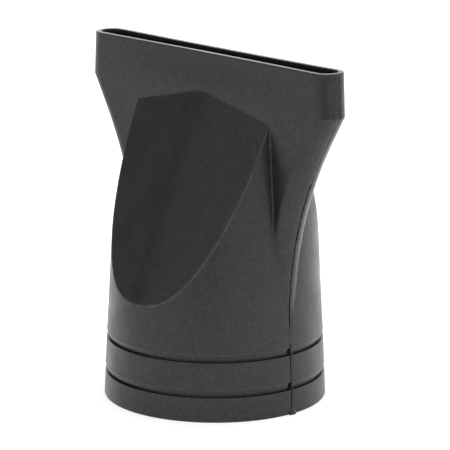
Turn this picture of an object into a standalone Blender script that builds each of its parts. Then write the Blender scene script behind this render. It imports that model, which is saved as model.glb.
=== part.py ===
"""Slip-on concentrator nozzle for a hand-held hair dryer.

Two equal moulded half shells, front and rear, meet on the plane y = 0 and are held by a weld bead
down each side. Below is a round socket that slips over the dryer's barrel. Above, the body turns
into a wide flat duct with a straight air slot.

Metres, +Z up. The origin is the centre of the socket's rim, X runs along the slot, and the front
shell is on the -Y side.
"""
import math

import bmesh
import bpy
from mathutils import Vector

MM = 0.001

# Overall
TOTAL_HEIGHT = 80.0 * MM
SLOT_WIDTH = 77.9 * MM

# Socket and round body
SOCKET_BORE_RADIUS = 23.2 * MM
SOCKET_WALL = 2.3 * MM
SOCKET_DEPTH = 18.0 * MM
MOUTH_CHAMFER = 0.5 * MM
RING_TAPER = 0.044
BODY_TAPER = 0.0534
BODY_WALL = 1.6 * MM
GROOVE_LEDGES = (5.7 * MM, 13.7 * MM)
GROOVE_HEIGHT = 1.75 * MM
GROOVE_STEP = 0.4 * MM
GROOVE_DEPTH = 0.9 * MM
GROOVE_GAP = 0.35 * MM

# Flat duct and slot
SLOT_OPENING = 5.2 * MM
SLOT_LIP_WALL = 1.3 * MM
LIP_HEIGHT = 10.0 * MM
END_DRAFT = 0.45 * MM
FLARE_START = 22.7 * MM
FLARE_STRAIGHT = 6.9 * MM

# Sloping facets between the body and the duct
FACET_FOOT = 25.5 * MM
FACET_HEAD_DROP = 8.7 * MM
FACET_SWEEP = 0.114

# Seam
SEAM_GAP = 0.3 * MM
WELD_THICKNESS = 0.6 * MM
WELD_DEPTH = 0.35 * MM
WELD_PROUD = 0.2 * MM
CLEARANCE = 0.3 * MM

# Mesh
TURN_STEPS = 96
ARC_STEPS = 12
OVERSHOOT = 4.0 * MM
MARGIN = 1.0 * MM
CUTTER_SIZE = 4.0 * TOTAL_HEIGHT
MERGE = 0.00001

PLASTIC_COLOUR = (0.032, 0.032, 0.034, 1.0)
PLASTIC_ROUGHNESS = 0.55


# ---------------------------------------------------------------- sizes that follow from the others

SOCKET_RADIUS = SOCKET_BORE_RADIUS + SOCKET_WALL
SLOT_THICKNESS = SLOT_OPENING + 2 * SLOT_LIP_WALL
GROOVES_TOP = max(GROOVE_LEDGES) + GROOVE_HEIGHT
CORNER_HEIGHT = TOTAL_HEIGHT - LIP_HEIGHT
CORNER_HALF_WIDTH = SLOT_WIDTH / 2 + END_DRAFT


def outer_radius(height):
    """Radius of the round body, grooves left out: the rings' taper, then the body's steeper one."""
    ring = min(height, GROOVES_TOP)
    return SOCKET_RADIUS - RING_TAPER * ring - BODY_TAPER * (height - ring)


def inner_radius(height):
    """Radius of the hollow: the socket's bore, then one wall inside the body."""
    socket_end = outer_radius(SOCKET_DEPTH) - BODY_WALL
    if height < SOCKET_DEPTH:
        return SOCKET_BORE_RADIUS + (socket_end - SOCKET_BORE_RADIUS) * height / SOCKET_DEPTH
    return outer_radius(height) - BODY_WALL


def flare_angle():
    """Lean from the vertical of the straight run below the duct's corner.

    An arc leaves the body upright and ends where the straight run starts, so the side's mean slope
    is the arc's share times tan(half angle) plus the run's share times tan(angle).
    """
    rise = CORNER_HEIGHT - FLARE_START
    slope = (CORNER_HALF_WIDTH - outer_radius(FLARE_START)) / rise
    run = FLARE_STRAIGHT / rise
    half_tan = slope / 2
    for _ in range(40):
        half_tan = slope / ((1 - run) + 2 * run / (1 - half_tan ** 2))
    return 2 * math.atan(half_tan)


def flared_side(inset):
    """Points (x, z) up the duct's right side, moved inwards by inset, from the flare's start up."""
    angle = flare_angle()
    radius = (CORNER_HEIGHT - FLARE_START - FLARE_STRAIGHT) / math.sin(angle)
    centre_x = outer_radius(FLARE_START) + radius
    points = []
    for step in range(ARC_STEPS + 1):
        turn = angle * step / ARC_STEPS
        points.append((centre_x - (radius + inset) * math.cos(turn),
                       FLARE_START + (radius + inset) * math.sin(turn)))
    draft = math.atan2(END_DRAFT, LIP_HEIGHT)
    corner_x = CORNER_HALF_WIDTH - inset
    corner_z = CORNER_HEIGHT + inset * math.tan((angle + draft) / 2)
    points.append((corner_x, corner_z))
    top_z = TOTAL_HEIGHT + OVERSHOOT
    points.append((corner_x - (top_z - corner_z) * math.tan(draft), top_z))
    return points


# ---------------------------------------------------------------- scene helpers

def clear_scene():
    """Remove every object that is in the scene."""
    for thing in list(bpy.data.objects):
        bpy.data.objects.remove(thing, do_unlink=True)


def new_collection(name):
    """Make a collection in the scene."""
    made = bpy.data.collections.new(name)
    bpy.context.scene.collection.children.link(made)
    return made


def new_object(name, data, collection):
    """Make an object from data and put it in a collection."""
    made = bpy.data.objects.new(name, data)
    collection.objects.link(made)
    return made


def mark_cutter(thing):
    """Show a helper solid as wire and leave it out of the model."""
    thing.display_type = 'WIRE'
    thing.hide_render = True
    return thing


def plastic(name):
    """Dark matt moulded plastic."""
    made = bpy.data.materials.new(name)
    made.use_nodes = True
    shader = made.node_tree.nodes['Principled BSDF']
    shader.inputs['Base Color'].default_value = PLASTIC_COLOUR
    shader.inputs['Roughness'].default_value = PLASTIC_ROUGHNESS
    shader.inputs['Metallic'].default_value = 0.0
    made.diffuse_color = PLASTIC_COLOUR
    return made


def turned(name, profile, collection):
    """Turn a profile of (radius, height) about Z with a Screw modifier, from top to bottom."""
    mesh = bpy.data.meshes.new(name)
    edges = [(i, i + 1) for i in range(len(profile) - 1)]
    mesh.from_pydata([(radius, 0.0, height) for radius, height in profile], edges, [])
    made = new_object(name, mesh, collection)
    screw = made.modifiers.new('turn', 'SCREW')
    screw.steps = TURN_STEPS
    screw.render_steps = TURN_STEPS
    screw.use_merge_vertices = True
    screw.merge_threshold = MERGE
    return made


def boolean(target, cutter, operation):
    """Add an exact Boolean to target."""
    cut = target.modifiers.new(cutter.name, 'BOOLEAN')
    cut.operation = operation
    cut.solver = 'EXACT'
    cut.object = cutter


def box(name, low, high, collection):
    """Box between two corners, as a cutter."""
    bpy.ops.mesh.primitive_cube_add(size=1.0)
    made = bpy.context.active_object
    made.name = name
    for old in list(made.users_collection):
        old.objects.unlink(made)
    collection.objects.link(made)
    low = Vector(low)
    high = Vector(high)
    made.location = (low + high) / 2
    made.scale = high - low
    return mark_cutter(made)


def flat_outline(name, outline, half_thickness, round_edge, collection):
    """Fill an outline in the XZ plane, thicken it along Y, and return it as a closed mesh.

    With round_edge the sides bulge out by the half thickness as half rounds.
    """
    curve = bpy.data.curves.new(name, 'CURVE')
    curve.dimensions = '2D'
    curve.fill_mode = 'BOTH'
    if round_edge:
        curve.bevel_depth = half_thickness
        curve.bevel_resolution = 4
    else:
        curve.extrude = half_thickness
    spline = curve.splines.new('POLY')
    spline.points.add(len(outline) - 1)
    for point, (x, z) in zip(spline.points, outline):
        point.co = (x, z, 0.0, 1.0)
    spline.use_cyclic_u = True
    source = new_object(name + '_outline', curve, collection)
    source.rotation_euler = (math.pi / 2, 0.0, 0.0)
    bpy.context.view_layer.update()
    evaluated = source.evaluated_get(bpy.context.evaluated_depsgraph_get())
    mesh = bpy.data.meshes.new_from_object(evaluated)
    solid = bmesh.new()
    solid.from_mesh(mesh)
    bmesh.ops.remove_doubles(solid, verts=solid.verts, dist=MERGE)
    bmesh.ops.recalc_face_normals(solid, faces=solid.faces)
    solid.to_mesh(mesh)
    solid.free()
    made = new_object(name, mesh, collection)
    made.matrix_world = source.matrix_world.copy()
    bpy.data.objects.remove(source, do_unlink=True)
    return made


# ---------------------------------------------------------------- helper solids

def round_body(name, collection):
    """Outer round body, closed, with its two grooves. Its top is hidden in the duct.

    Each groove is a band that slopes in by GROOVE_STEP towards its ledge, with a narrow slit at its
    foot.
    """
    top = TOTAL_HEIGHT - MARGIN
    profile = [(0.0, top), (outer_radius(top), top)]
    for ledge in sorted(GROOVE_LEDGES, reverse=True):
        edge = outer_radius(ledge)
        profile.append((outer_radius(ledge + GROOVE_HEIGHT), ledge + GROOVE_HEIGHT))
        profile.append((edge - GROOVE_STEP, ledge + GROOVE_GAP))
        profile.append((edge - GROOVE_DEPTH, ledge + GROOVE_GAP))
        profile.append((edge - GROOVE_DEPTH, ledge))
        profile.append((edge, ledge))
    profile.append((SOCKET_RADIUS, 0.0))
    profile.append((0.0, 0.0))
    return turned(name, profile, collection)


def round_hollow(name, collection):
    """Round part of the hollow: a lead-in chamfer, the socket's bore and the body's inside."""
    top = TOTAL_HEIGHT + OVERSHOOT
    profile = [
        (0.0, top),
        (inner_radius(top), top),
        (inner_radius(GROOVES_TOP + SOCKET_DEPTH), GROOVES_TOP + SOCKET_DEPTH),
        (inner_radius(SOCKET_DEPTH), SOCKET_DEPTH),
        (inner_radius(MOUTH_CHAMFER), MOUTH_CHAMFER),
        (SOCKET_BORE_RADIUS + MOUTH_CHAMFER, 0.0),
        (SOCKET_BORE_RADIUS + MOUTH_CHAMFER, -OVERSHOOT),
        (0.0, -OVERSHOOT),
    ]
    return turned(name, profile, collection)


def duct(name, wall, thickness, collection):
    """Flat flared duct one wall inside the outer one, with half-round narrow sides."""
    right = flared_side(wall + thickness / 2)
    foot_x, foot_z = right[0]
    right.insert(0, (foot_x - OVERSHOOT, foot_z - OVERSHOOT / 2))
    outline = right + [(-x, z) for x, z in reversed(right)]
    return flat_outline(name, outline, thickness / 2, True, collection)


def facet_cutter(name, side, wall, collection):
    """Big cube with one face on a sloping facet, moved inwards by wall.

    side is +1 for the right facet and -1 for the left one. The ridge between them climbs from the
    body at FACET_FOOT to the duct's front wall at FACET_HEAD_DROP below the rim.
    """
    foot_y = -outer_radius(FACET_FOOT)
    head_z = TOTAL_HEIGHT - FACET_HEAD_DROP
    lean = (-SLOT_THICKNESS / 2 - foot_y) / (head_z - FACET_FOOT)
    normal = Vector((side * FACET_SWEEP, -1.0, lean)).normalized()
    centre = Vector((0.0, foot_y, FACET_FOOT)) + normal * (CUTTER_SIZE / 2 - wall)
    bpy.ops.mesh.primitive_cube_add(size=CUTTER_SIZE, location=centre)
    made = bpy.context.active_object
    made.name = name
    for old in list(made.users_collection):
        old.objects.unlink(made)
    collection.objects.link(made)
    made.rotation_euler = normal.to_track_quat('Z', 'Y').to_euler()
    return mark_cutter(made)


def seam_strip(name, depth, proud, half_thickness, foot, top, collection):
    """Strip up the right seam, from depth inside the outline at y = 0 to proud outside it.

    foot and top are its lowest and highest heights.
    """
    outer = [(outer_radius(foot) + proud, foot)] + flared_side(-proud)
    inner = [(outer_radius(foot) - depth, foot)] + flared_side(depth)
    for side in (outer, inner):
        (low_x, low_z), (high_x, high_z) = side[-2], side[-1]
        share = (top - low_z) / (high_z - low_z)
        side[-1] = (low_x + (high_x - low_x) * share, top)
    return flat_outline(name, outer + inner[::-1], half_thickness, False, collection)


def half_turn_copy(source, name, collection):
    """Same mesh turned half a turn about Z."""
    made = new_object(name, source.data, collection)
    made.rotation_euler = (0.0, 0.0, math.pi)
    return made


# ---------------------------------------------------------------- the pieces

def build_hollow(cutters):
    """The whole air passage: socket and body, cut by the facets, joined to the slot's duct."""
    hollow = mark_cutter(round_hollow('hollow', cutters))
    for side, name in ((1, 'inner_facet_right'), (-1, 'inner_facet_left')):
        boolean(hollow, facet_cutter(name, side, BODY_WALL, cutters), 'DIFFERENCE')
    passage = mark_cutter(duct('slot_passage', SLOT_LIP_WALL, SLOT_OPENING, cutters))
    boolean(hollow, passage, 'UNION')
    return hollow


def build_front_shell(parts, cutters):
    """Front half of the nozzle, from its seam faces at y = -SEAM_GAP / 2 forwards."""
    shell = round_body('front_shell', parts)
    for side, name in ((1, 'facet_right'), (-1, 'facet_left')):
        boolean(shell, facet_cutter(name, side, 0.0, cutters), 'DIFFERENCE')
    flat = mark_cutter(duct('flat_duct', 0.0, SLOT_THICKNESS, cutters))
    boolean(shell, flat, 'UNION')
    far = CUTTER_SIZE / 2
    above = box('above_rim', (-far, -far, TOTAL_HEIGHT), (far, far, TOTAL_HEIGHT + far), cutters)
    boolean(shell, above, 'DIFFERENCE')
    boolean(shell, build_hollow(cutters), 'DIFFERENCE')
    behind = box('behind_seam', (-far, -SEAM_GAP / 2, -far), (far, far, far), cutters)
    boolean(shell, behind, 'DIFFERENCE')
    rebate = mark_cutter(seam_strip('rebate_right', WELD_DEPTH + CLEARANCE, WELD_PROUD + MARGIN,
                                    WELD_THICKNESS / 2 + CLEARANCE, -MARGIN, TOTAL_HEIGHT + MARGIN,
                                    cutters))
    far_rebate = mark_cutter(half_turn_copy(rebate, 'rebate_left', cutters))
    far_rebate.matrix_world = far_rebate.matrix_basis @ rebate.matrix_world
    for cutter in (rebate, far_rebate):
        boolean(shell, cutter, 'DIFFERENCE')
    return shell


def apply_modifiers(thing):
    """Turn an object's evaluated shape into its mesh, without slivers, smooth but for real edges."""
    evaluated = thing.evaluated_get(bpy.context.evaluated_depsgraph_get())
    mesh = bpy.data.meshes.new_from_object(evaluated)
    solid = bmesh.new()
    solid.from_mesh(mesh)
    bmesh.ops.remove_doubles(solid, verts=solid.verts, dist=MERGE)
    bmesh.ops.dissolve_degenerate(solid, edges=solid.edges, dist=MERGE)
    solid.to_mesh(mesh)
    solid.free()
    thing.modifiers.clear()
    thing.data = mesh
    mesh.shade_smooth()
    mesh.set_sharp_from_angle(angle=math.radians(30))


def main():
    """Build the two shells and the two weld beads."""
    clear_scene()
    parts = new_collection('concentrator_nozzle')
    cutters = new_collection('cutters')

    front = build_front_shell(parts, cutters)
    bpy.context.view_layer.update()
    apply_modifiers(front)
    front.data.materials.clear()
    rear = half_turn_copy(front, 'rear_shell', parts)

    bead = seam_strip('weld_bead_right', WELD_DEPTH, WELD_PROUD, WELD_THICKNESS / 2,
                      0.0, TOTAL_HEIGHT, parts)
    far_bead = half_turn_copy(bead, 'weld_bead_left', parts)
    far_bead.matrix_world = far_bead.matrix_basis @ bead.matrix_world

    for thing in (front, rear, bead, far_bead):
        if thing.data.users > 1:
            thing.data = thing.data.copy()
        thing.data.materials.clear()
        thing.data.materials.append(plastic(thing.name + '_plastic'))


main()
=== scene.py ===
"""Looks of a slip-on concentrator nozzle for a hair dryer.

The CAD frame gives the sizes and the places. This script replaces its two plain half shells and its
two weld beads with fine surfaces, gives each its moulded finish, and lights the nozzle on a pale floor.

Lengths are in millimetres until a mesh is written, and then in metres.
"""
import logging
import math
from dataclasses import dataclass, field
from enum import Enum

import bmesh
import bpy
import numpy as np
from mathutils import Matrix, Vector


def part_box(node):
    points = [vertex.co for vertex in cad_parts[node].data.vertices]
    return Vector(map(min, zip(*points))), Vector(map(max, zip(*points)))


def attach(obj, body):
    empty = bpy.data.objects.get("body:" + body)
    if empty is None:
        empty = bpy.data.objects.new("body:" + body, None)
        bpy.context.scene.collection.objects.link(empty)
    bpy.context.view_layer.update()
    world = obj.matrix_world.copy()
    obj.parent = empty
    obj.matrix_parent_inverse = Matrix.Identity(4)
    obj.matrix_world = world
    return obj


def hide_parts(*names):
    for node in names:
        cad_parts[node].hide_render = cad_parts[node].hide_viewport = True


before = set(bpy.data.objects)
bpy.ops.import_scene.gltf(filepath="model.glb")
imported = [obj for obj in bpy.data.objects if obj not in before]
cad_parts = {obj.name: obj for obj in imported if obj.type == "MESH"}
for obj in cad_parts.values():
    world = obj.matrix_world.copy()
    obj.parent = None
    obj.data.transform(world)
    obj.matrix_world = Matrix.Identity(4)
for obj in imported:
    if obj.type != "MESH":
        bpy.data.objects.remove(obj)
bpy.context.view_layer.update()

LOG = logging.getLogger("nozzle")
MM = 0.001
# Per-vertex layer of pale edge tone: worn plastic and painted highlight.
WEAR_AND_HIGHLIGHT_LAYER = "wear_and_highlight"
NOISE_RANGE = (0.3, 0.7)
POLYPROPYLENE_IOR = 1.49
SHARP_ANGLE = math.radians(50.0)
FLARE_ROUNDS = 40
HALVINGS = 34
TURN_SAMPLES = 20001
# Millimetres: how far past the widest point a search starts, and two small tolerances.
SEARCH_MARGIN = 3.0
HAIR = 0.01
FLUSH = 0.001


# ------------------------------------------------------------------ small tools

def srgb(code: str) -> tuple[float, float, float, float]:
    """Turn an sRGB hex colour into linear red, green, blue and alpha.

    Args:
        code: Six hex digits after a hash sign.

    Returns:
        Linear components and an alpha of 1.
    """
    parts = np.array([int(code[i:i + 2], 16) for i in (1, 3, 5)]) / 255.0
    linear = np.where(parts <= 0.04045, parts / 12.92, ((parts + 0.055) / 1.055) ** 2.4)
    return (float(linear[0]), float(linear[1]), float(linear[2]), 1.0)


def add_node(tree: bpy.types.NodeTree, kind: str, inputs: dict | None = None,
             links: dict | None = None, **settings: object) -> bpy.types.Node:
    """Add a shader node with its settings, socket values and incoming links.

    Args:
        tree: Node tree that gets the node.
        kind: Node type name.
        inputs: Values by socket name or index.
        links: Output sockets by the name or index of the socket they feed.
        **settings: Attributes of the node.

    Returns:
        The new node.
    """
    node = tree.nodes.new(kind)
    for name, value in settings.items():
        setattr(node, name, value)
    for name, value in (inputs or {}).items():
        node.inputs[name].default_value = value
    for name, socket in (links or {}).items():
        tree.links.new(socket, node.inputs[name])
    return node


def smooth_step(value: np.ndarray, low: float, high: float) -> np.ndarray:
    """Climb from 0 at low to 1 at high along 3t^2 - 2t^3."""
    share = np.clip((value - low) / (high - low), 0.0, 1.0)
    return share * share * (3.0 - 2.0 * share)


def ragged(along: np.ndarray, waves: tuple[float, ...], seed: int) -> np.ndarray:
    """Uneven line between about -1 and 1: sine waves of the given lengths with seeded phases.

    Args:
        along: Distance along the line in millimetres.
        waves: Wave lengths in millimetres.
        seed: Seed of the phases.

    Returns:
        The sum of the waves over the square root of their number.
    """
    phases = np.random.default_rng(seed).uniform(0.0, 2.0 * np.pi, len(waves))
    lengths = np.array(waves)
    total = np.sin(2.0 * np.pi * along[:, None] / lengths + phases).sum(axis=1)
    return total / math.sqrt(len(waves))


def rounded_path(corners: list[tuple[float, float, float]], steps: int = 4) -> np.ndarray:
    """Polyline through corners, with each inner corner replaced by a tangent arc.

    Args:
        corners: (across, up, radius) of each corner.
        steps: Segments in each arc.

    Returns:
        Points as rows of (across, up).
    """
    points = [np.array(corners[0][:2])]
    for before, here, after in zip(corners, corners[1:], corners[2:]):
        corner = np.array(here[:2])
        back = np.array(before[:2]) - corner
        ahead = np.array(after[:2]) - corner
        back /= np.linalg.norm(back)
        ahead /= np.linalg.norm(ahead)
        half = math.acos(float(np.clip(back @ ahead, -1.0, 1.0))) / 2.0
        middle = (back + ahead) / np.linalg.norm(back + ahead)
        centre = corner + middle * here[2] / math.sin(half)
        turns = np.linspace(-1.0, 1.0, steps + 1) * (math.pi / 2.0 - half)
        side = np.array([-middle[1], middle[0]])
        if side @ back > 0.0:
            side = -side
        arc = centre + here[2] * (-middle * np.cos(turns)[:, None] + side * np.sin(turns)[:, None])
        points.extend(arc)
    points.append(np.array(corners[-1][:2]))
    return np.array(points)


def write_piece(name: str, points: np.ndarray, faces: list[list[int]]) -> bpy.types.Object:
    """Make a closed, smooth-shaded mesh object at the origin from points in millimetres.

    Args:
        name: Object name.
        points: Rows of x, y, z in millimetres.
        faces: Vertex indices of each face.

    Returns:
        The new object, with its faces pointing outwards.
    """
    mesh = bpy.data.meshes.new(name)
    mesh.from_pydata((points * MM).tolist(), [], faces)
    solid = bmesh.new()
    solid.from_mesh(mesh)
    bmesh.ops.recalc_face_normals(solid, faces=solid.faces)
    solid.to_mesh(mesh)
    solid.free()
    mesh.shade_smooth()
    mesh.set_sharp_from_angle(angle=SHARP_ANGLE)
    piece = bpy.data.objects.new(name, mesh)
    bpy.context.scene.collection.objects.link(piece)
    return piece


# ------------------------------------------------------------------ finishes

@dataclass(frozen=True)
class MouldedPolypropylene:
    """Black polypropylene straight from a spark-eroded mould: a fine even grain, matt but not dull.

    The grain scatters a broad soft sheen, and the mottle under it makes that sheen patchy. The real
    grain is too fine to show, so it is drawn coarser. Grain, mottle and clouding are the lengths of
    their patches in millimetres, and a depth is the height of their bumps. Base and shade are the
    two tones that the clouding mixes, and it changes the roughness too. Edge is a pale tone mixed in
    by the mesh's wear and highlight layer: worn plastic, and painted highlights along edges.
    """

    name: str
    base: str
    shade: str
    roughness: float
    rough_spread: float
    grain: float
    grain_depth: float
    mottle: float
    mottle_depth: float
    clouding: float
    sheen_level: float
    sheen_spread: float
    edge: str

    def _spread(self, tree: bpy.types.NodeTree, noise: bpy.types.Node, middle: float,
                spread: float) -> bpy.types.NodeSocket:
        """Turn a noise into a value around a middle.

        Args:
            tree: Node tree of the material.
            noise: Noise node, whose usual range is NOISE_RANGE.
            middle: Value at the middle of the range.
            spread: Distance from the middle to either end.

        Returns:
            Socket of the value.
        """
        low, high = NOISE_RANGE
        return add_node(tree, "ShaderNodeMapRange",
                        {"From Min": low, "From Max": high, "To Min": middle - spread,
                         "To Max": middle + spread}, {"Value": noise.outputs["Fac"]}).outputs["Result"]

    def build(self) -> bpy.types.Material:
        """Make the material from three noises on object coordinates.

        Returns:
            The finished material.
        """
        made = bpy.data.materials.new(self.name)
        made.use_nodes = True
        tree = made.node_tree
        shader = tree.nodes["Principled BSDF"]
        shader.inputs["Metallic"].default_value = 0.0
        shader.inputs["IOR"].default_value = POLYPROPYLENE_IOR
        place = add_node(tree, "ShaderNodeTexCoord").outputs["Object"]
        clouds = add_node(tree, "ShaderNodeTexNoise", {"Scale": 1.0 / (self.clouding * MM), "Detail": 3.0},
                          {"Vector": place})
        grains = add_node(tree, "ShaderNodeTexNoise",
                          {"Scale": 1.0 / (self.grain * MM), "Detail": 2.0, "Roughness": 0.6},
                          {"Vector": place})
        mottles = add_node(tree, "ShaderNodeTexNoise",
                           {"Scale": 1.0 / (self.mottle * MM), "Detail": 3.0, "Roughness": 0.65},
                           {"Vector": place})
        tone = add_node(tree, "ShaderNodeMix", {6: srgb(self.base), 7: srgb(self.shade)},
                        {0: clouds.outputs["Fac"]}, data_type="RGBA")
        # Pale edge tone from the wear and highlight layer: partly worn plastic, partly painted highlight.
        wear_and_highlight_node = add_node(tree, "ShaderNodeAttribute", attribute_name=WEAR_AND_HIGHLIGHT_LAYER)
        colour = add_node(tree, "ShaderNodeMix", {7: srgb(self.edge)},
                          {0: wear_and_highlight_node.outputs["Fac"], 6: tone.outputs[2]}, data_type="RGBA")
        tree.links.new(colour.outputs[2], shader.inputs["Base Color"])
        sheen = self._spread(tree, mottles, self.sheen_level, self.sheen_spread)
        tree.links.new(sheen, shader.inputs["Specular IOR Level"])
        rough = self._spread(tree, clouds, self.roughness, self.rough_spread)
        tree.links.new(rough, shader.inputs["Roughness"])
        uneven = add_node(tree, "ShaderNodeBump", {"Strength": 1.0, "Distance": self.mottle_depth * MM},
                          {"Height": mottles.outputs["Fac"]})
        bump = add_node(tree, "ShaderNodeBump", {"Strength": 1.0, "Distance": self.grain_depth * MM},
                        {"Height": grains.outputs["Fac"], "Normal": uneven.outputs["Normal"]})
        tree.links.new(bump.outputs["Normal"], shader.inputs["Normal"])
        return made


@dataclass(frozen=True)
class EdgeWearAndHighlight:
    """Pale share along an edge, for worn plastic and painted highlight: a mean and a spread times a ragged
    line, clipped.
    """

    mean: float
    spread: float
    waves: tuple[float, ...]
    seed: int
    least: float
    most: float = 0.4

    def share(self, along: np.ndarray) -> np.ndarray:
        """Share of pale tone, worn plastic and painted highlight, at each distance along the edge in
        millimetres.
        """
        uneven = self.mean + self.spread * ragged(along, self.waves, self.seed)
        return np.clip(uneven, self.least, self.most)


# ------------------------------------------------------------------ the nozzle's form

class Side(Enum):
    """Which half of the nozzle a piece belongs to; the rear half is the front one turned half round."""

    FRONT = 1
    REAR = -1


@dataclass
class NozzleForm:
    """Outside and inside form of the whole nozzle, as functions of height in millimetres.

    Fields without a default come from the CAD frame. The facets' plane is at facet_reach on the
    base, leans back by facet_rise for each millimetre up, and by facet_sweep for each one across.
    """

    height: float
    socket_radius: float
    corner_half_width: float
    ring_taper: float = 0.044
    body_taper: float = 0.0534
    grooves_top: float = 15.45
    slot_half_thickness: float = 3.9
    slot_half_opening: float = 2.6
    end_draft: float = 0.45
    lip_height: float = 10.0
    flare_start: float = 22.7
    flare_straight: float = 6.9
    facet_reach: float = 35.62
    facet_rise: float = 0.438
    facet_sweep: float = 0.1137
    ridge_softness: float = 2.87
    body_wall: float = 1.6
    bore_radius: float = 23.2
    socket_depth: float = 18.0
    least_fillet: float = 0.05
    valley_fillet: float = 0.2
    valley_run: tuple[float, float] = (1.0, 16.0)
    draw_back: float = 2.0
    least_reach: float = 1.0
    wall_bulge: float = 0.3
    bulge_length: float = 25.0
    lip_pinch: float = 0.45

    def body_radius(self, up: np.ndarray) -> np.ndarray:
        """Radius of the round body, grooves left out: the rings' taper, then a steeper one."""
        ring = np.minimum(up, self.grooves_top)
        return self.socket_radius - self.ring_taper * ring - self.body_taper * (up - ring)

    def _flare(self) -> tuple[float, float, float]:
        """Solve the flare's edge: an arc that leaves the body upright, then a straight run.

        The mean slope is the arc's share times tan(half the lean) plus the run's share times
        tan(lean), solved by repeated substitution.

        Returns:
            Lean of the straight run, radius of the arc, and the arc's starting half width.
        """
        rise = self.height - self.lip_height - self.flare_start
        start = float(self.body_radius(np.array(self.flare_start)))
        slope = (self.corner_half_width - start) / rise
        run = self.flare_straight / rise
        half_tan = slope / 2.0
        for _ in range(FLARE_ROUNDS):
            half_tan = slope / ((1.0 - run) + 2.0 * run / (1.0 - half_tan ** 2))
        lean = 2.0 * math.atan(half_tan)
        return lean, (rise - self.flare_straight) / math.sin(lean), start

    def duct_half_width(self, up: np.ndarray) -> np.ndarray:
        """Half width of the flat duct: an arc out of the body, a straight run, and drafted ends.

        Below the flare it draws back inside the body, draw_back for each millimetre of height.

        Args:
            up: Height.

        Returns:
            Half width at each height.
        """
        lean, radius, start = self._flare()
        climb = np.clip(up - self.flare_start, 0.0, radius * math.sin(lean))
        arc = start + radius - np.sqrt(radius ** 2 - climb ** 2)
        run_start = self.flare_start + radius * math.sin(lean)
        corner = self.height - self.lip_height
        run = np.clip(up - run_start, 0.0, corner - run_start) * math.tan(lean)
        draft = np.maximum(up - corner, 0.0) * self.end_draft / self.lip_height
        below = np.maximum(self.flare_start - up, 0.0) * self.draw_back
        return np.maximum(arc + run - draft - below, self.slot_half_thickness + self.least_reach)

    def fillet(self, up: np.ndarray) -> np.ndarray:
        """Fillet radius where the duct leaves the body: next to nothing at the flare's start."""
        start, end = self.valley_run
        return self.least_fillet + self.valley_fillet * smooth_step(
            up, self.flare_start + start, self.flare_start + end)

    def bow(self, across: np.ndarray, up: np.ndarray) -> np.ndarray:
        """How far the duct's flat wall stands outside its plane, from cooling in the mould.

        It bulges out round the corner's height and is pinched in at the lip, and both die out
        towards the ends as 1 - (x / half width)^2.

        Args:
            across: Distance along the slot from its middle.
            up: Height.

        Returns:
            Distance outwards at each place.
        """
        corner = self.height - self.lip_height
        pinch = smooth_step(up, corner, self.height)
        rise = smooth_step(up, corner - self.bulge_length, corner) * (1.0 - pinch)
        width = self.corner_half_width - self.slot_half_thickness
        fall = np.clip(1.0 - (across / width) ** 2, 0.0, 1.0)
        return fall * (self.wall_bulge * rise - self.lip_pinch * pinch)

    def facet_depth(self, across: np.ndarray, up: np.ndarray) -> np.ndarray:
        """How far forward the sloping facets stand at (x, z): a plane folded softly about x = 0."""
        fold = np.sqrt(across ** 2 + self.ridge_softness ** 2)
        return self.facet_reach - self.facet_rise * up - self.facet_sweep * fold

    def distances(self, x: np.ndarray, y: np.ndarray, up: np.ndarray, body_in: np.ndarray,
                  duct_in: np.ndarray) -> tuple[np.ndarray, np.ndarray, np.ndarray]:
        """Signed distances in a horizontal section to the round body, its facets and the duct.

        Args:
            x: Distance along the slot.
            y: Distance front to rear.
            up: Height.
            body_in: How far inside the body's surface to measure.
            duct_in: How far inside the duct's surface to measure.

        Returns:
            Distances to the circle, to the facet plane and to the duct's round-ended slab.
        """
        circle = np.hypot(x, y) - self.body_radius(up) + body_in
        steep = math.sqrt(1.0 + self.facet_rise ** 2 + self.facet_sweep ** 2)
        facet = (np.abs(y) - self.facet_depth(x, up)) / steep + body_in
        half = self.slot_half_thickness - duct_in
        reach = self.duct_half_width(up) - duct_in - half
        duct = np.hypot(np.maximum(np.abs(x) - reach, 0.0), y) - half - self.bow(x, up)
        return circle, facet, duct

    def join(self, circle: np.ndarray, duct: np.ndarray, up: np.ndarray) -> np.ndarray:
        """Distance to the round body and the duct joined with a round fillet k.

        For distances a and b it is max(k, min(a, b)) - hypot(max(k - a, 0), max(k - b, 0)).
        """
        fillet = self.fillet(up)
        return np.maximum(fillet, np.minimum(circle, duct)) - np.hypot(
            np.maximum(fillet - circle, 0.0), np.maximum(fillet - duct, 0.0))

    def outline(self, turn: np.ndarray, up: np.ndarray, body_in: np.ndarray,
                duct_in: np.ndarray) -> np.ndarray:
        """Distance from the axis to the surface along each direction, found by halving.

        The facets cut the joined body and duct sharply, down to the duct's face.

        Args:
            turn: Direction from +X towards the front, in radians.
            up: Height.
            body_in: How far inside the body's surface the wanted surface lies.
            duct_in: The same for the duct.

        Returns:
            Radial distance for each point.
        """
        low = np.zeros(np.broadcast(turn, up).shape)
        high = np.full(low.shape, self.corner_half_width + SEARCH_MARGIN)
        for _ in range(HALVINGS):
            middle = (low + high) / 2.0
            circle, facet, duct = self.distances(middle * np.cos(turn), middle * np.sin(turn), up,
                                                 body_in, duct_in)
            inside = np.maximum(self.join(circle, duct, up), np.minimum(facet, duct)) < 0.0
            low = np.where(inside, middle, low)
            high = np.where(inside, high, middle)
        return (low + high) / 2.0


# ------------------------------------------------------------------ pieces

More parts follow.
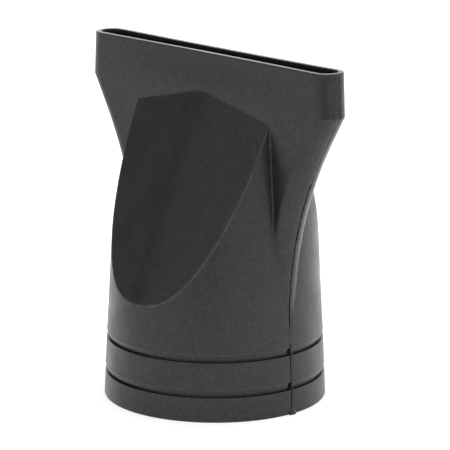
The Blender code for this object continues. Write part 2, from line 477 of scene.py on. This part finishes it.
@dataclass
class HalfShell:
    """One moulded half: a profile loop round the wall, carried from one seam to the other.

    The rebate beside the seam is shallower above rebate_end. Each groove is a band that slopes in
    by groove_step down to a slit at its foot, with a fine burr over it. The loop starts on the base
    rim and ends at the foot of the bore's lead-in, and rim_join is how far both are from the bore.
    """

    form: NozzleForm
    side: Side
    name: str
    replaces: str
    seam_gap: float = 0.08
    rebate_depth: float = 0.22
    rebate_half: float = 0.22
    rebate_wall: float = 0.08
    rebate_end: float = 54.0
    rebate_taper: float = 0.3
    rebate_fade: float = 0.85
    rim_round: float = 0.35
    rim_join: tuple[float, float] = (0.9, 0.5)
    ledges: tuple[float, float] = (5.7, 13.7)
    groove_height: float = 1.75
    groove_step: float = 0.4
    groove_depth: float = 0.9
    groove_gap: float = 0.42
    groove_round: float = 0.05
    step_round: float = 0.04
    burr: float = 0.05
    burr_reach: tuple[float, float] = (0.12, 0.16)
    burr_round: float = 0.03
    notch: tuple[float, float] = (0.3, 1.0)
    notch_depth: float = 0.9
    notch_below: float = 0.1
    above_socket: float = 2.0
    below_corner: float = 0.1
    outer_share: float = 0.3
    lip_round: tuple[float, float] = (0.22, 0.18)
    lip_run: float = 1.0
    thinning_start: float = 30.0
    bore_end: float = 0.5
    burr_band: tuple[float, float] = (0.06, 0.08)
    # Pale edge tone: wear with painted highlight on the burrs and the lip, painted highlight on the facets'
    # edges.
    burr_wear_and_highlight: EdgeWearAndHighlight = EdgeWearAndHighlight(0.16, 0.08, (4.7, 11.3, 23.0), 5, 0.04)
    facet_edge_highlight: EdgeWearAndHighlight = EdgeWearAndHighlight(0.14, 0.06, (1.3, 3.7, 9.1), 6, 0.02)
    facet_clear: float = 0.8
    lip_band: tuple[float, float] = (0.1, 0.3)
    lip_wear_and_highlight: float = 0.1
    columns: int = 300
    body_share: float = 24.0
    seam_share: float = 6.0
    seam_turn: float = 0.02
    end_rows: int = 22
    inner_rows: tuple[int, int] = (40, 10)
    longest_run: float = 0.8
    row_step: float = 0.36
    piece: bpy.types.Object | None = field(default=None, init=False)

    def _profile(self) -> np.ndarray:
        """Carry the wall's section once round, from the base rim up the outside and down the inside.

        Returns:
            Rows of (height, inset from the body, inset from the duct).
        """
        form = self.form
        base = float(form.socket_radius - form.bore_radius)
        loop_start, loop_end = self.rim_join
        burr_below, burr_above = self.burr_reach
        corners = [(base - loop_start, 0.0, 0.0), (0.0, 0.0, self.rim_round)]
        for ledge in self.ledges:
            slit = ledge + self.groove_gap
            crest = ledge + self.groove_height
            corners += [(0.0, ledge, self.groove_round),
                        (self.groove_depth, ledge, self.groove_round),
                        (self.groove_depth, slit, self.groove_round),
                        (self.groove_step, slit, self.step_round),
                        (0.0, crest - burr_below, self.groove_round),
                        (-self.burr, crest, self.burr_round),
                        (0.0, crest + burr_above, self.groove_round)]
        straight = form.socket_depth + self.above_socket
        corners.append((0.0, straight, 0.0))
        lower = self._densify(rounded_path(corners), self.longest_run)
        lip = form.slot_half_thickness - form.slot_half_opening
        top = form.height
        corner = top - form.lip_height
        flank = np.arange(straight + self.row_step, corner - self.below_corner, self.row_step)
        ends = np.linspace(corner, top - self.lip_run, self.end_rows)
        outer_round, inner_round = self.lip_round
        rim = rounded_path([(0.0, top - self.lip_run, 0.0), (0.0, top, outer_round),
                            (lip, top, inner_round), (lip, top - self.lip_run, 0.0)], steps=5)
        duct_rows, bore_rows = self.inner_rows
        inner_up = np.concatenate([np.linspace(top - 2.0 * self.lip_run, form.socket_depth, duct_rows),
                                   np.linspace(form.socket_depth, self.bore_end, bore_rows)[1:]])
        rows = [np.column_stack([lower[:, 1], lower[:, 0], np.zeros(len(lower))])]
        for heights in (flank, ends[:-1]):
            rows.append(np.column_stack([heights, np.zeros(len(heights)), np.zeros(len(heights))]))
        rows.append(np.column_stack([rim[:, 1], rim[:, 0], rim[:, 0]]))
        bore = form.bore_radius + (form.body_radius(np.array(form.socket_depth)) - form.body_wall
                                   - form.bore_radius) * np.clip(inner_up / form.socket_depth, 0.0, 1.0)
        wall = np.where(inner_up < form.socket_depth, form.body_radius(inner_up) - bore, form.body_wall)
        thin = form.body_wall + (lip - form.body_wall) * smooth_step(inner_up, self.thinning_start, corner)
        rows.append(np.column_stack([inner_up, wall, thin]))
        rows.append(np.array([[0.0, base - loop_end, form.body_wall]]))
        return np.concatenate(rows)

    @staticmethod
    def _densify(path: np.ndarray, step: float) -> np.ndarray:
        """Put extra points on the runs of a path that are longer than step.

        Args:
            path: Points as rows.
            step: Longest run allowed, in millimetres.

        Returns:
            The path with its extra points.
        """
        out = [path[:1]]
        for start, end in zip(path[:-1], path[1:]):
            count = max(1, math.ceil(float(np.linalg.norm(end - start)) / step))
            shares = np.arange(1, count + 1)[:, None] / count
            out.append(start + (end - start) * shares)
        return np.concatenate(out)

    def _turns(self) -> np.ndarray:
        """Space the columns from the right seam to the left one.

        They are even along the sum of the circle's arc, the slot's outline and a stretch that
        gathers columns at the seam.

        Returns:
            Direction of each column in radians.
        """
        form = self.form
        fine = np.linspace(0.0, math.pi / 2.0, TURN_SAMPLES)
        reach = form.corner_half_width - form.slot_half_thickness
        bend = math.atan2(form.slot_half_thickness, reach)
        across = form.slot_half_thickness / np.tan(np.maximum(fine, bend))
        slot = form.corner_half_width * np.minimum(fine, bend) + reach - across
        length = self.body_share * fine + slot + self.seam_share * (1.0 - np.exp(-fine / self.seam_turn))
        length = np.maximum.accumulate(length)
        half = self.columns // 2
        quarter = np.interp(np.linspace(0.0, length[-1], half + 1), length, fine)
        return np.concatenate([quarter, math.pi - quarter[-2::-1]])

    def _snap(self, turn: np.ndarray, up: np.ndarray, outer: np.ndarray) -> tuple[np.ndarray, ...]:
        """Move the vertices nearest to the facets' sharp edges onto them.

        One edge is where the facet meets the joined body, the other where it meets the duct's
        face. Each grid line that crosses one gives its nearer end a share of a cell to move, and
        the smallest move wins.

        Args:
            turn: Direction of each vertex.
            up: Height of each vertex.
            outer: Rows that lie on the outside.

        Returns:
            New directions, new heights and a mask of the vertices on the edge.
        """
        none = np.zeros_like(up)
        far = self.form.outline(turn, up, none, none)
        circle, facet, duct = self.form.distances(far * np.cos(turn), far * np.sin(turn), up, none, none)
        skin = np.broadcast_to(outer[:, None], up.shape)
        # Just over half a cell, so that a crossing midway still moves one of its ends.
        best = np.full(up.shape, 0.5001)
        move_turn = np.zeros_like(up)
        move_up = np.zeros_like(up)
        rows, columns = up.shape
        for level in (self.form.join(circle, duct, up) - facet, facet - duct):
            for step_row, step_column in ((0, 1), (1, 0)):
                a = (slice(0, rows - step_row), slice(0, columns - step_column))
                b = (slice(step_row, rows), slice(step_column, columns))
                crosses = (level[a] * level[b] < 0.0) & skin[a] & skin[b]
                gap = np.where(crosses, level[a] - level[b], 1.0)
                share = level[a] / gap
                for here, there, part in ((a, b, share), (b, a, 1.0 - share)):
                    wins = crosses & (part < best[here])
                    best[here] = np.where(wins, part, best[here])
                    move_turn[here] = np.where(wins, part * (turn[there] - turn[here]), move_turn[here])
                    move_up[here] = np.where(wins, part * (up[there] - up[here]), move_up[here])
        return turn + move_turn, up + move_up, best < 0.5

    def _faces(self, rows: int, columns: int, on_edge: np.ndarray) -> list[list[int]]:
        """Join the closed loop of rows with quads, split along the sharp edge, and two end caps.

        Args:
            rows: Number of rows round the wall.
            columns: Number of columns from seam to seam.
            on_edge: Vertices on the facets' sharp edges.

        Returns:
            Vertex indices of each face.
        """
        index = np.arange(rows * columns).reshape(rows, columns)
        after = np.roll(index, -1, axis=0)
        a, b = index[:, :-1].ravel(), index[:, 1:].ravel()
        d, c = after[:, :-1].ravel(), after[:, 1:].ravel()
        flat = on_edge.ravel()
        along = flat[a] & flat[c]
        against = flat[b] & flat[d] & ~along
        plain = ~(along | against)
        faces = np.column_stack([a, b, c, d])[plain].tolist()
        faces += np.column_stack([a, b, c])[along].tolist()
        faces += np.column_stack([a, c, d])[along].tolist()
        faces += np.column_stack([a, b, d])[against].tolist()
        faces += np.column_stack([b, c, d])[against].tolist()
        faces.append(index[::-1, 0].tolist())
        faces.append(index[:, -1].tolist())
        return faces

    def build(self, finish: bpy.types.Material) -> bpy.types.Object:
        """Make the half shell's mesh and dress it.

        A point is (r cos t, -(r sin t + half the gap), z), with r from the form's outline.

        Args:
            finish: Material of the shell.

        Returns:
            The finished piece.
        """
        form = self.form
        profile = self._profile()
        turns = self._turns()
        rows, columns = len(profile), len(turns)
        turn = np.broadcast_to(turns, (rows, columns)).copy()
        up = np.broadcast_to(profile[:, :1], (rows, columns)).copy()
        lip = form.slot_half_thickness - form.slot_half_opening
        outer = (profile[:, 2] == 0.0) & (profile[:, 0] > form.socket_depth)
        turn, up, on_edge = self._snap(turn, up, outer)
        far = form.outline(turn, up, profile[:, 1:2], profile[:, 2:3])
        outside = (profile[:, 2:3] < self.outer_share * lip) & (
            profile[:, 1:2] <= self.groove_depth + HAIR)
        off_seam = far * np.sin(turn)
        fade = smooth_step(up, self.rebate_end - self.rebate_taper, self.rebate_end)
        depth = self.rebate_depth * (1.0 - self.rebate_fade * fade)
        beside = 1.0 - smooth_step(off_seam, self.rebate_half, self.rebate_half + self.rebate_wall)
        far = far - np.where(outside, depth, 0.0) * beside
        far = self._cut_notches(far, turn, up, outside, off_seam)
        x = far * np.cos(turn)
        y = far * np.sin(turn) + self.seam_gap / 2.0
        points = np.column_stack([x.ravel() * self.side.value, -y.ravel() * self.side.value, up.ravel()])
        self.piece = write_piece(self.name, points, self._faces(rows, columns, on_edge))
        self.piece.data.materials.append(finish)
        # Per-vertex pale edge tone: wear, and painted highlight on edges.
        wear_and_highlight = self.piece.data.attributes.new(WEAR_AND_HIGHLIGHT_LAYER, "FLOAT", "POINT")
        wear_and_highlight.data.foreach_set("value", self._wear_and_highlight_share(profile, far * turn, up, on_edge, y).ravel())
        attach(self.piece, "root")
        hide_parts(self.replaces)
        return self.piece

    def _wear_and_highlight_share(self, profile: np.ndarray, along: np.ndarray, up: np.ndarray, on_edge: np.ndarray,
                y: np.ndarray) -> np.ndarray:
        """Share of pale tone at each vertex, uneven along each edge: worn plastic and painted highlight.

        Handling wears the burr over each groove and the rounded lip of the slot, and a highlight is painted
        there too, and on the facets' edges where they stand clear of the duct.

        Args:
            profile: Rows of height, inset from the body and inset from the duct.
            along: Distance round the nozzle of each vertex.
            up: Height of each vertex.
            on_edge: Vertices on the facets' sharp edges.
            y: Distance of each vertex in front of the middle.

        Returns:
            Share from 0 to 1 for each vertex.
        """
        below, above = self.burr_band
        burrs = np.zeros(len(profile), dtype=bool)
        for ledge in self.ledges:
            top = ledge + self.groove_height
            burrs |= (profile[:, 0] > top - below) & (profile[:, 0] < top + above)
        burrs &= (profile[:, 2] == 0.0) & (profile[:, 1] <= FLUSH)
        share = burrs[:, None] * self.burr_wear_and_highlight.share(along[0])[None, :]
        # Painted highlight along the facets' sharp edges.
        clear = on_edge & (y > self.form.slot_half_thickness + self.facet_clear)
        share = np.where(clear, self.facet_edge_highlight.share(up.ravel()).reshape(up.shape), share)
        lip_down, lip_in = self.lip_band
        lip = (profile[:, 0] > self.form.height - lip_down) & (profile[:, 1] < lip_in)
        return np.where(lip[:, None], self.lip_wear_and_highlight, share)

    def _cut_notches(self, far: np.ndarray, turn: np.ndarray, up: np.ndarray, outside: np.ndarray,
                     off_seam: np.ndarray) -> np.ndarray:
        """Cut the small square notch that ends each groove beside the right-hand seam.

        Args:
            far: Distance of each vertex from the axis.
            turn: Direction of each vertex, less than a quarter turn on the right.
            up: Height of each vertex.
            outside: Vertices on the outside.
            off_seam: Distance of each vertex from the seam.

        Returns:
            New distances from the axis.
        """
        start, end = self.notch
        wanted = self.form.body_radius(up) - self.notch_depth
        beside = (off_seam > start) & (off_seam < end) & (turn < math.pi / 2.0) & outside
        for ledge in self.ledges:
            crest = ledge + self.groove_height
            within = (up > ledge - HAIR) & (up < crest - self.notch_below) & beside
            far = np.where(within, np.minimum(far, wanted), far)
        return far


@dataclass
class WeldBead:
    """Ragged line of plastic squeezed out of the seam, bridging the grooves, with a blob at its foot.

    The right one leans to the rear, is thinner from thin_from up, and spills to the front above the
    grooves. The left one is made the same way and turned half round, with its own seed.
    """

    form: NozzleForm
    side: Side
    name: str
    replaces: str
    seed: int
    half_width: float = 0.15
    proud: float = 0.08
    depth: float = 0.3
    least_proud: float = 0.02
    blob: float = 0.95
    blob_rise: float = 0.4
    blob_fade: tuple[float, float] = (0.3, 1.5)
    lean: float = 0.07
    width_change: float = 0.22
    width_waves: tuple[float, ...] = (0.9, 1.7, 3.1, 7.3)
    crest_change: float = 0.6
    crest_waves: tuple[float, ...] = (0.7, 1.3, 2.3, 5.9)
    wander: float = 0.05
    wander_waves: tuple[float, ...] = (1.9, 4.1, 9.7)
    thin_from: float = 54.0
    thin_over: float = 0.3
    thinning: float = 0.5
    spill: float = 0.12
    spill_heights: tuple[float, float, float, float] = (16.2, 17.2, 19.4, 20.6)
    below_lip: float = 0.25
    step: float = 0.2
    ring: int = 14
    piece: bpy.types.Object | None = field(default=None, init=False)

    def build(self, finish: bpy.types.Material) -> bpy.types.Object:
        """Make the bead's mesh and dress it.

        At each height an oval section stands across the seam: half width times cos(t) across it,
        and outwards the crest's height, or inwards the root's depth, times sin(t), along the
        outline's own normal.

        Args:
            finish: Material of the bead.

        Returns:
            The finished piece.
        """
        form = self.form
        up = np.linspace(0.0, form.height - self.below_lip, int(form.height / self.step))
        side = np.maximum(form.body_radius(up), form.duct_half_width(up))
        slope = np.gradient(side, up)
        level = np.hypot(1.0, slope)
        width = self.half_width * (1.0 + self.width_change * ragged(up, self.width_waves, self.seed))
        crest = self.proud * (1.0 + self.crest_change * ragged(up, self.crest_waves, self.seed + 1))
        drift = self.lean + self.wander * ragged(up, self.wander_waves, self.seed + 2)
        start, full, last, end = self.spill_heights
        spill = self.spill * smooth_step(up, start, full) * (1.0 - smooth_step(up, last, end))
        width = width + spill
        drift = drift - spill
        foot = 1.0 - smooth_step(up, *self.blob_fade)
        thin = 1.0 - self.thinning * smooth_step(up, self.thin_from - self.thin_over, self.thin_from)
        width = width * thin + self.blob * foot
        crest = np.maximum(crest, self.least_proud) * thin + self.blob_rise * self.blob * foot
        turn = np.linspace(0.0, 2.0 * np.pi, self.ring, endpoint=False)
        lift = np.where(np.sin(turn) > 0.0, 1.0, 0.0)
        out = (lift * crest[:, None] + (1.0 - lift) * self.depth) * np.sin(turn)
        across = drift[:, None] + width[:, None] * np.cos(turn)
        x = side[:, None] + out / level[:, None]
        z = up[:, None] - out * (slope / level)[:, None]
        z = np.clip(z, 0.0, form.height)
        points = np.column_stack([x.ravel() * self.side.value, across.ravel() * self.side.value, z.ravel()])
        index = np.arange(points.shape[0]).reshape(len(up), self.ring)
        beside = np.roll(index, -1, axis=1)
        faces = np.column_stack([index[:-1].ravel(), beside[:-1].ravel(), beside[1:].ravel(),
                                 index[1:].ravel()]).tolist()
        faces += [index[0].tolist(), index[-1][::-1].tolist()]
        self.piece = write_piece(self.name, points, faces)
        self.piece.data.materials.append(finish)
        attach(self.piece, "root")
        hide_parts(self.replaces)
        return self.piece


# ------------------------------------------------------------------ studio

@dataclass
class Studio:
    """White sweep painted with light and shadow, a soft surround with a dark card on the left, a softbox
    and the camera.

    Angles are in degrees, azimuths from the front to the right.
    """

    azimuth: float = 46.429
    elevation: float = 13.542
    roll: float = 0.153
    distance: float = 694.59
    target: tuple[float, float, float] = (3.234, 0.0, 40.01)
    lens: float = 243.85
    floor_size: float = 6000.0
    floor_drop: float = 0.02
    floor_tone: str = "#C0C0C0"
    floor_glow: float = 0.47
    # Painted light in the floor's emission: a pool beside the nozzle, a soft shadow round its foot, a
    # brighter far side.
    painted_pool_light: float = 0.58
    pool_reach: tuple[float, float] = (60.0, 260.0)
    pool_centre: tuple[float, float] = (30.0, 32.0)
    painted_foot_shadow: float = 0.4
    foot_reach: tuple[float, float] = (30.0, 95.0)
    painted_back_light: float = 0.45
    back_reach: float = 300.0
    # Painted shadow of the nozzle on the floor in front of it: strength, direction, lobe and start.
    shade: float = 1.0
    painted_shadow_azimuth: float = 36.0
    painted_shadow_lobe: tuple[float, float] = (32.0, 5.0)
    painted_shadow_start: tuple[float, float] = (110.0, 210.0)
    horizon: float = 1.25
    ceiling: float = 0.95
    ceiling_from: float = 0.8
    card: float = 1.0
    card_place: tuple[float, float] = (-78.0, 12.0)
    card_radius: float = 56.0
    back: float = 0.78
    softbox_place: tuple[float, float, float] = (0.0, 0.0, 900.0)
    softbox_aim: tuple[float, float, float] = (0.0, 0.0, 40.0)
    softbox_size: float = 1000.0
    softbox_power: float = 0.6

    def build(self) -> None:
        """Make the camera, the floor, the surround and the softbox."""
        self._camera()
        self._floor()
        self._surround()
        self._softbox()

    @staticmethod
    def _direction(azimuth: float, elevation: float) -> Vector:
        """Turn two angles into a unit vector.

        Args:
            azimuth: Degrees from the front to the right.
            elevation: Degrees above the floor.

        Returns:
            The unit vector.
        """
        turn = math.radians(azimuth)
        lift = math.radians(elevation)
        return Vector((math.sin(turn) * math.cos(lift), -math.cos(turn) * math.cos(lift), math.sin(lift)))

    def _camera(self) -> None:
        """Long lens on the line of sight, rolled a little about it."""
        data = bpy.data.cameras.new("camera")
        data.lens = self.lens
        data.sensor_width = 36.0
        data.clip_start = 0.01
        data.clip_end = 20.0
        camera = bpy.data.objects.new("camera", data)
        back = self._direction(self.azimuth, self.elevation)
        aim = (-back).to_track_quat("-Z", "Y").to_matrix().to_4x4()
        place = (Vector(self.target) + back * self.distance) * MM
        turn = Matrix.Rotation(math.radians(self.roll), 4, "Z")
        camera.matrix_world = Matrix.Translation(place) @ aim @ turn
        bpy.context.scene.collection.objects.link(camera)
        bpy.context.scene.camera = camera

    def _floor(self) -> None:
        """Wide pale sheet under the socket's rim, whose uneven glow is painted light and painted shadow."""
        half = self.floor_size / 2.0 * MM
        low = -self.floor_drop * MM
        mesh = bpy.data.meshes.new("floor")
        mesh.from_pydata([(-half, -half, low), (half, -half, low), (half, half, low), (-half, half, low)],
                         [], [[0, 1, 2, 3]])
        floor = bpy.data.objects.new("floor", mesh)
        bpy.context.scene.collection.objects.link(floor)
        # Painted light and shadow: the sweep's emission strength varies over the floor.
        made = bpy.data.materials.new("white_sweep_painted_light")
        made.use_nodes = True
        tree = made.node_tree
        shader = tree.nodes["Principled BSDF"]
        shader.inputs["Base Color"].default_value = srgb(self.floor_tone)
        shader.inputs["Roughness"].default_value = 0.9
        shader.inputs["Specular IOR Level"].default_value = 0.1
        shader.inputs["Emission Color"].default_value = srgb("#FFFFFF")
        tree.links.new(self._painted_floor_light(tree), shader.inputs["Emission Strength"])
        mesh.materials.append(made)

    def _painted_floor_light(self, tree: bpy.types.NodeTree) -> bpy.types.NodeSocket:
        """Add the nodes of the floor's painted light and shadow, all from places on the floor.

        A painted pool of light beside the nozzle fades outwards, a painted soft shadow lies round its foot,
        the far side is painted brighter, and a painted shadow in front takes a share of the light.

        Args:
            tree: Node tree of the floor's material.

        Returns:
            Socket of the glow's strength.
        """
        def measure(operation: str, start: bpy.types.NodeSocket,
                    vector: Vector | None = None) -> bpy.types.NodeSocket:
            """Value of a vector operation on a place."""
            inputs = {} if vector is None else {1: vector}
            return add_node(tree, "ShaderNodeVectorMath", inputs, {0: start},
                            operation=operation).outputs["Value"]

        def fade(value: bpy.types.NodeSocket, low: float, high: float, start: float,
                 end: float) -> bpy.types.NodeSocket:
            """Smooth step of a value from start at low to end at high."""
            return add_node(tree, "ShaderNodeMapRange",
                            {"From Min": low, "From Max": high, "To Min": start, "To Max": end},
                            {"Value": value}, interpolation_type="SMOOTHSTEP").outputs["Result"]

        def times(first: bpy.types.NodeSocket, second: bpy.types.NodeSocket) -> bpy.types.NodeSocket:
            """Product of two values."""
            return add_node(tree, "ShaderNodeMath", links={0: first, 1: second},
                            operation="MULTIPLY").outputs["Value"]

        place = add_node(tree, "ShaderNodeTexCoord").outputs["Object"]
        heading = add_node(tree, "ShaderNodeVectorMath", links={0: place}, operation="NORMALIZE")
        beside = add_node(tree, "ShaderNodeVectorMath",
                          {1: Vector((self.pool_centre[0] * MM, self.pool_centre[1] * MM, 0.0))},
                          {0: place}, operation="SUBTRACT")
        painted_shadow_way = self._direction(self.painted_shadow_azimuth, 0.0)
        # Painted pool of light, brightest beside the nozzle.
        pool = fade(measure("LENGTH", beside.outputs["Vector"]), self.pool_reach[0] * MM,
                    self.pool_reach[1] * MM, self.floor_glow + self.painted_pool_light, self.floor_glow)
        # Painted soft shadow round the nozzle's foot.
        foot = fade(measure("LENGTH", place), self.foot_reach[0] * MM, self.foot_reach[1] * MM,
                    1.0 - self.painted_foot_shadow, 1.0)
        # Painted extra light on the far side.
        back = fade(measure("DOT_PRODUCT", place, self._direction(self.azimuth, 0.0)),
                    -self.back_reach * MM, 0.0, self.painted_back_light, 0.0)
        # Painted shadow cast by the nozzle towards the camera.
        wide, narrow = (math.cos(math.radians(angle)) for angle in self.painted_shadow_lobe)
        lobe = fade(measure("DOT_PRODUCT", heading.outputs["Vector"], painted_shadow_way), wide, narrow,
                    0.0, self.shade)
        far_out = fade(measure("DOT_PRODUCT", place, painted_shadow_way), self.painted_shadow_start[0] * MM,
                       self.painted_shadow_start[1] * MM, 0.0, 1.0)
        kept = add_node(tree, "ShaderNodeMath", {0: 1.0}, {1: times(lobe, far_out)}, operation="SUBTRACT")
        lit = times(times(pool, foot), kept.outputs["Value"])
        return add_node(tree, "ShaderNodeMath", links={0: lit, 1: back}, operation="ADD").outputs["Value"]

    def _surround(self) -> None:
        """World light: a bright horizon under a dimmer ceiling, a dark card, and a bright back."""
        world = bpy.data.worlds.new("surround")
        bpy.context.scene.world = world
        world.use_nodes = True
        tree = world.node_tree
        place = add_node(tree, "ShaderNodeTexCoord").outputs["Generated"]
        split = add_node(tree, "ShaderNodeSeparateXYZ", links={"Vector": place})
        ramp = add_node(tree, "ShaderNodeMapRange",
                        {"From Min": 0.0, "From Max": self.ceiling_from, "To Min": self.horizon,
                         "To Max": self.ceiling},
                        {"Value": split.outputs["Z"]}, interpolation_type="SMOOTHSTEP")
        towards = add_node(tree, "ShaderNodeVectorMath", {1: self._direction(*self.card_place)},
                           {0: place}, operation="DOT_PRODUCT")
        card = add_node(tree, "ShaderNodeMapRange",
                        {"From Min": math.cos(math.radians(self.card_radius)), "From Max": 1.0,
                         "To Min": 1.0, "To Max": 1.0 - self.card},
                        {"Value": towards.outputs["Value"]}, interpolation_type="SMOOTHSTEP")
        behind = add_node(tree, "ShaderNodeVectorMath", {1: -self._direction(self.azimuth, 0.0)},
                          {0: place}, operation="DOT_PRODUCT")
        back = add_node(tree, "ShaderNodeMapRange", {"To Min": 0.0, "To Max": self.back},
                        {"Value": behind.outputs["Value"]}, interpolation_type="SMOOTHSTEP")
        total = add_node(tree, "ShaderNodeMath",
                         links={0: ramp.outputs["Result"], 1: card.outputs["Result"],
                                2: back.outputs["Result"]}, operation="MULTIPLY_ADD")
        back_drop = tree.nodes["Background"]
        back_drop.inputs["Color"].default_value = srgb("#FFFFFF")
        tree.links.new(total.outputs["Value"], back_drop.inputs["Strength"])
        bpy.context.scene.view_settings.view_transform = "Standard"

    def _softbox(self) -> None:
        """Square soft lamp overhead that points at the middle of the nozzle."""
        data = bpy.data.lights.new("overhead_softbox", "AREA")
        data.size = self.softbox_size * MM
        data.energy = self.softbox_power
        lamp = bpy.data.objects.new("overhead_softbox", data)
        lamp.location = Vector(self.softbox_place) * MM
        aim = Vector(self.softbox_aim) - Vector(self.softbox_place)
        lamp.rotation_euler = aim.to_track_quat("-Z", "Y").to_euler()
        bpy.context.scene.collection.objects.link(lamp)


# ------------------------------------------------------------------ whole scene

def form_from_frame() -> NozzleForm:
    """Read the driving sizes from the CAD frame's front shell."""
    low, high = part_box("front_shell")
    return NozzleForm(height=high[2] / MM, socket_radius=-low[1] / MM, corner_half_width=high[0] / MM)


def shell_finish() -> bpy.types.Material:
    """Even grain of the two moulded halves."""
    return MouldedPolypropylene(
        name="moulded_black_polypropylene", base="#181819", shade="#151516", roughness=0.34,
        rough_spread=0.06, grain=0.4, grain_depth=0.02, mottle=0.9, mottle_depth=0.03, clouding=6.0,
        sheen_level=0.46, sheen_spread=0.085, edge="#6C6C6E").build()


def bead_finish() -> bpy.types.Material:
    """Smoother, more broken sheen of the plastic that was squeezed out of the seam."""
    return MouldedPolypropylene(
        name="weld_flash_polypropylene", base="#1A1A1B", shade="#141415", roughness=0.3,
        rough_spread=0.06, grain=0.5, grain_depth=0.03, mottle=1.0, mottle_depth=0.03, clouding=3.0,
        sheen_level=0.5, sheen_spread=0.12, edge="#484849").build()


def main() -> None:
    """Build the pieces in order, report each one and light the scene."""
    logging.basicConfig(level=logging.INFO, format="%(name)s: %(message)s")
    Studio().build()
    form = form_from_frame()
    LOG.info("height %.2f, socket radius %.2f, half width %.2f mm", form.height, form.socket_radius,
             form.corner_half_width)
    shell = shell_finish()
    bead = bead_finish()
    pieces = [
        HalfShell(form, Side.FRONT, "front_shell_skin", "front_shell").build(shell),
        HalfShell(form, Side.REAR, "rear_shell_skin", "rear_shell").build(shell),
        WeldBead(form, Side.FRONT, "weld_bead_right_flash", "weld_bead_right", seed=11).build(bead),
        WeldBead(form, Side.REAR, "weld_bead_left_flash", "weld_bead_left", seed=23).build(bead),
    ]
    for piece in pieces:
        LOG.info("%s: %d faces", piece.name, len(piece.data.polygons))


if __name__ == "__main__":
    main()
